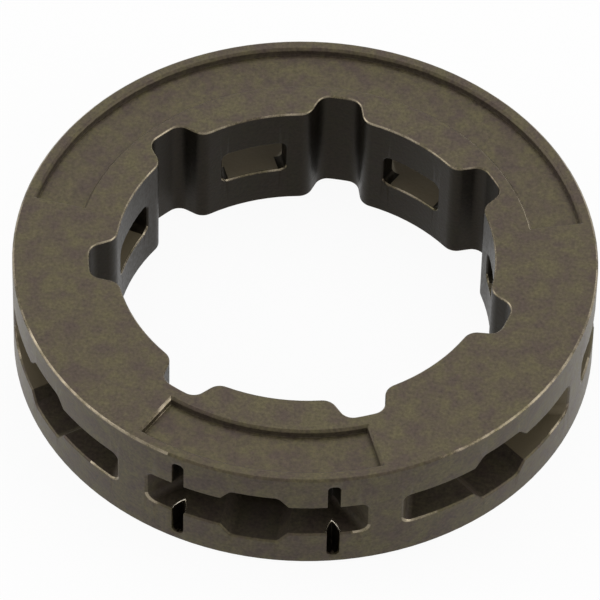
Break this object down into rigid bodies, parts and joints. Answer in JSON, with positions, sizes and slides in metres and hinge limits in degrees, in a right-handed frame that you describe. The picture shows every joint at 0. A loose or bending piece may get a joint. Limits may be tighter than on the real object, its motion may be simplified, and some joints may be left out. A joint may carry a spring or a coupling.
{
  "type": "chainsaw rim sprocket",
  "caption": "Ring-shaped chain sprocket that floats on a splined hub; slots between its two rims take the drive links of a saw chain.",
  "frame": {"origin": "bore axis at the plain bottom face", "axes": "+Z along the bore axis, towards the marked top face; -Y through the middle of the slot that carries the wear notches"},
  "size_m": [0.0342, 0.0342, 0.0074],
  "materials": {
    "cast_steel": "dark olive-brown phosphated cast steel, satin, with fine cast grain"
  },
  "bodies": {
    "root": {"rim_sprocket": "cast_steel"}
  },
  "joints": []
}
